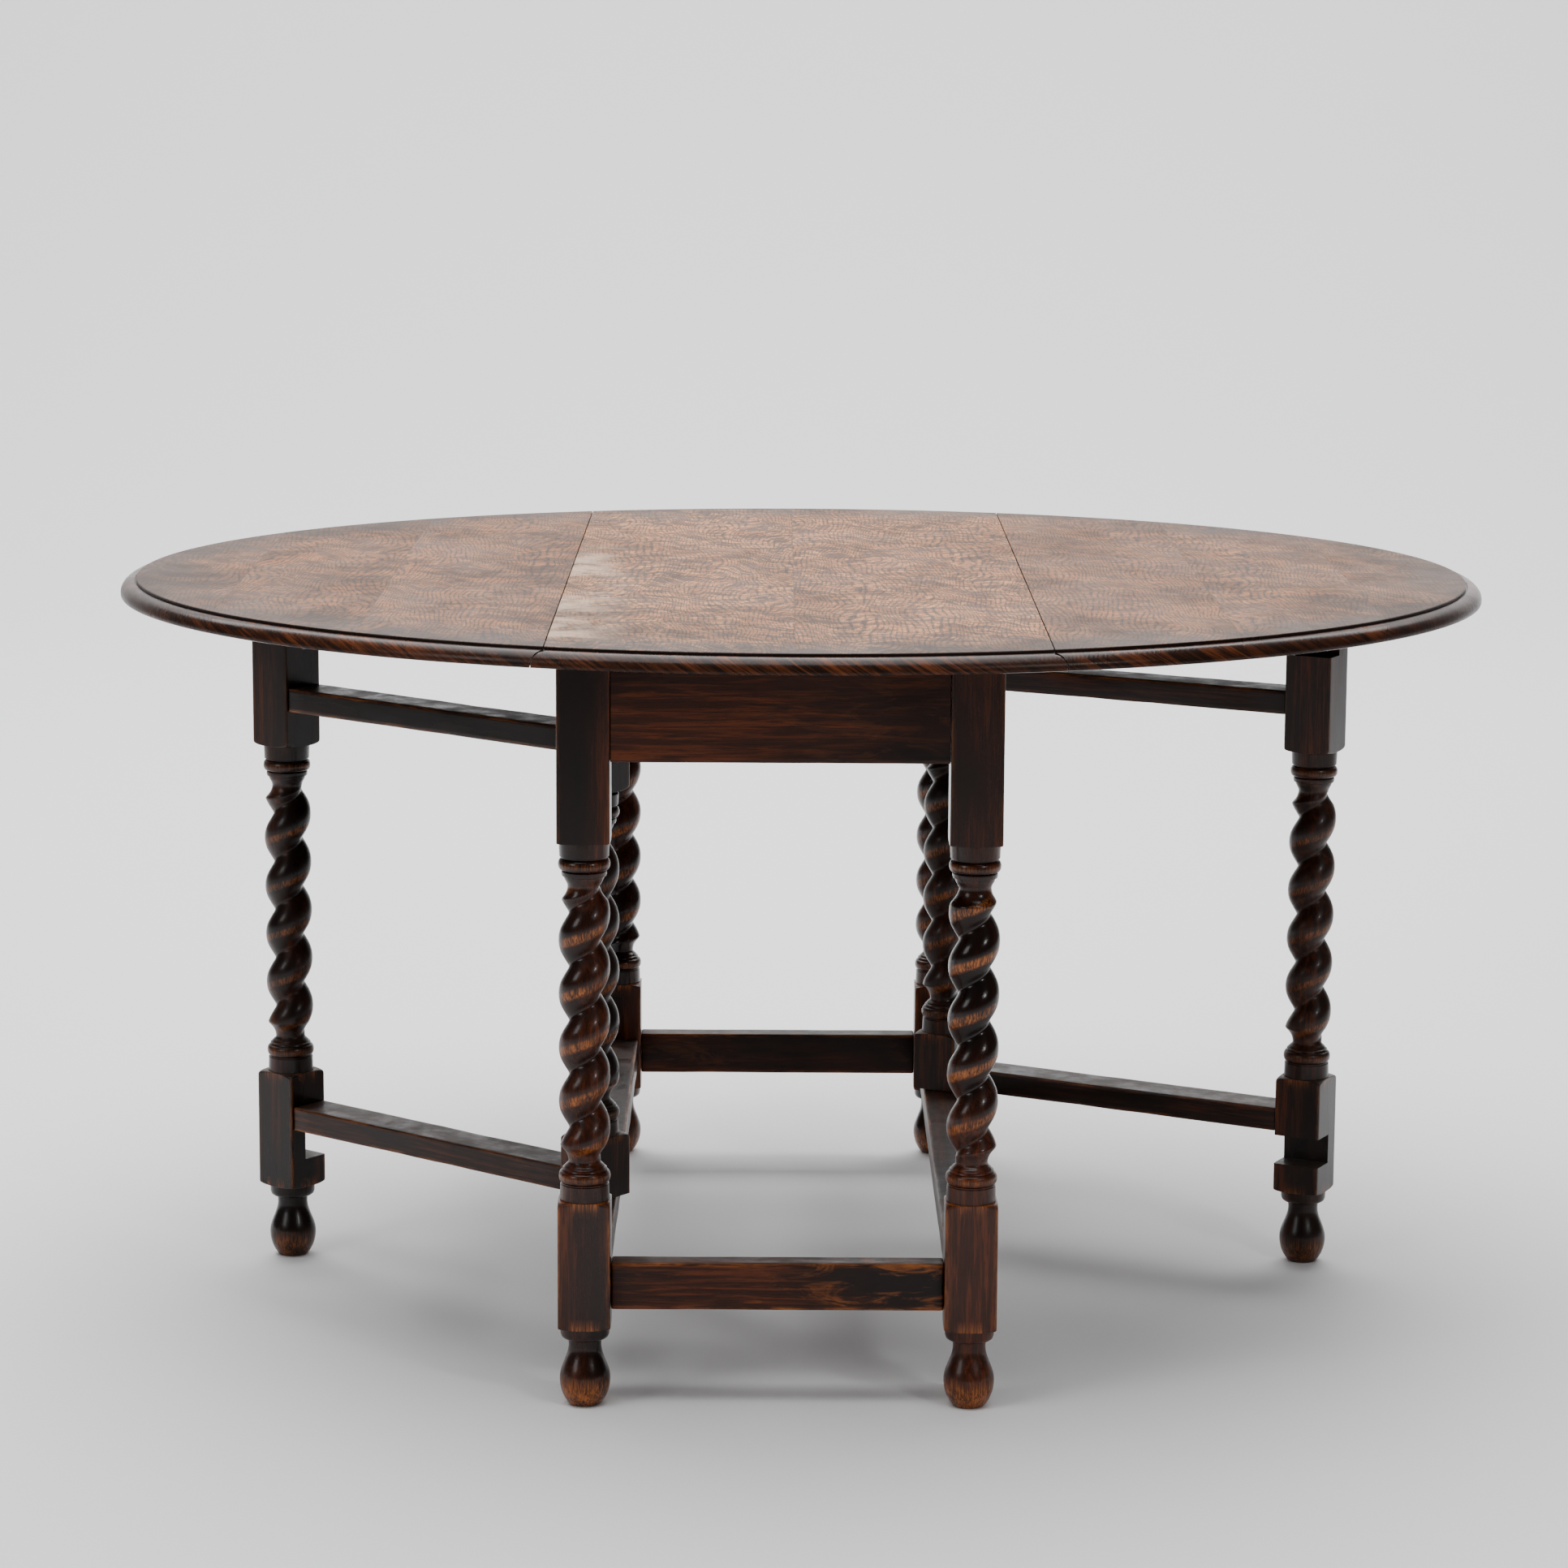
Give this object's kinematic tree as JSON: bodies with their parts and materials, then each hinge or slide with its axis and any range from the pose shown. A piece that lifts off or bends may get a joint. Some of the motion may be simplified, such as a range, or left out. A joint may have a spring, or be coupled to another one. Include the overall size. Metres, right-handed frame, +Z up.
{
  "type": "gateleg table",
  "caption": "Oval drop-leaf table with a fixed centre panel, two leaves on rule joints, barley-twist legs and swinging gates under the leaves.",
  "frame": {"origin": "on the floor under the middle of the oval top's bounding box", "axes": "+X across the leaves, along the oval's long axis; +Y along the rule joints, towards the back; +Z up"},
  "size_m": [1.402, 1.229, 0.74],
  "materials": {
    "top_oak": "satin, waxed dark oak with orange-brown rays",
    "leg_oak": "satin, near-black stain worn to orange-brown on the ridges",
    "rail_oak": "satin, dark stained oak",
    "gate_oak": "dull, dark stained oak, dusty on top",
    "bare_oak": "bare, unfinished oak",
    "old_iron": "dark iron with a brown tarnish"
  },
  "bodies": {
    "frame": {"top_centre": "top_oak", "leg_front_left": "leg_oak", "leg_front_right": "leg_oak", "leg_back_left": "leg_oak", "leg_back_right": "leg_oak", "apron_front": "rail_oak", "apron_back": "rail_oak", "apron_left": "rail_oak", "apron_right": "rail_oak", "stretcher_front": "rail_oak", "stretcher_back": "rail_oak", "stretcher_left": "rail_oak", "stretcher_right": "rail_oak", "top_block_front_left": "bare_oak", "top_block_front_right": "bare_oak", "top_block_back_left": "bare_oak", "top_block_back_right": "bare_oak", "top_screw_front_left": "old_iron", "top_screw_front_right": "old_iron", "top_screw_back_left": "old_iron", "top_screw_back_right": "old_iron", "hinge_left_front_fixed_plate": "old_iron", "hinge_left_front_pin": "old_iron", "hinge_left_back_fixed_plate": "old_iron", "hinge_left_back_pin": "old_iron", "hinge_right_front_fixed_plate": "old_iron", "hinge_right_front_pin": "old_iron", "hinge_right_back_fixed_plate": "old_iron", "hinge_right_back_pin": "old_iron"},
    "leaf_left": {"leaf_left": "top_oak", "leaf_stop_left": "bare_oak", "hinge_left_front_leaf_plate": "old_iron", "hinge_left_back_leaf_plate": "old_iron"},
    "leaf_right": {"leaf_right": "top_oak", "leaf_stop_right": "bare_oak", "hinge_right_front_leaf_plate": "old_iron", "hinge_right_back_leaf_plate": "old_iron"},
    "gate_left": {"gate_leg_left": "gate_oak", "gate_post_left": "gate_oak", "gate_upper_rail_left": "gate_oak", "gate_lower_rail_left": "gate_oak"},
    "gate_right": {"gate_leg_right": "gate_oak", "gate_post_right": "gate_oak", "gate_upper_rail_right": "gate_oak", "gate_lower_rail_right": "gate_oak"}
  },
  "joints": [
    {"name": "leaf_left_hinge", "type": "hinge", "parent": "frame", "child": "leaf_left", "pos_m": [-0.2382, 0, 0.724], "axis": [0, 1, 0], "range_deg": [0, 2.5]},
    {"name": "leaf_right_hinge", "type": "hinge", "parent": "frame", "child": "leaf_right", "pos_m": [0.2288, 0, 0.724], "axis": [0, -1, 0], "range_deg": [0, 2.5]},
    {"name": "gate_left_pivot", "type": "hinge", "parent": "frame", "child": "gate_left", "pos_m": [-0.2047, -0.246, 0], "axis": [0, 0, -1], "range_deg": [0, 48.35]},
    {"name": "gate_right_pivot", "type": "hinge", "parent": "frame", "child": "gate_right", "pos_m": [0.1623, 0.224, 0], "axis": [0, 0, -1], "range_deg": [0, 58.85]}
  ]
}
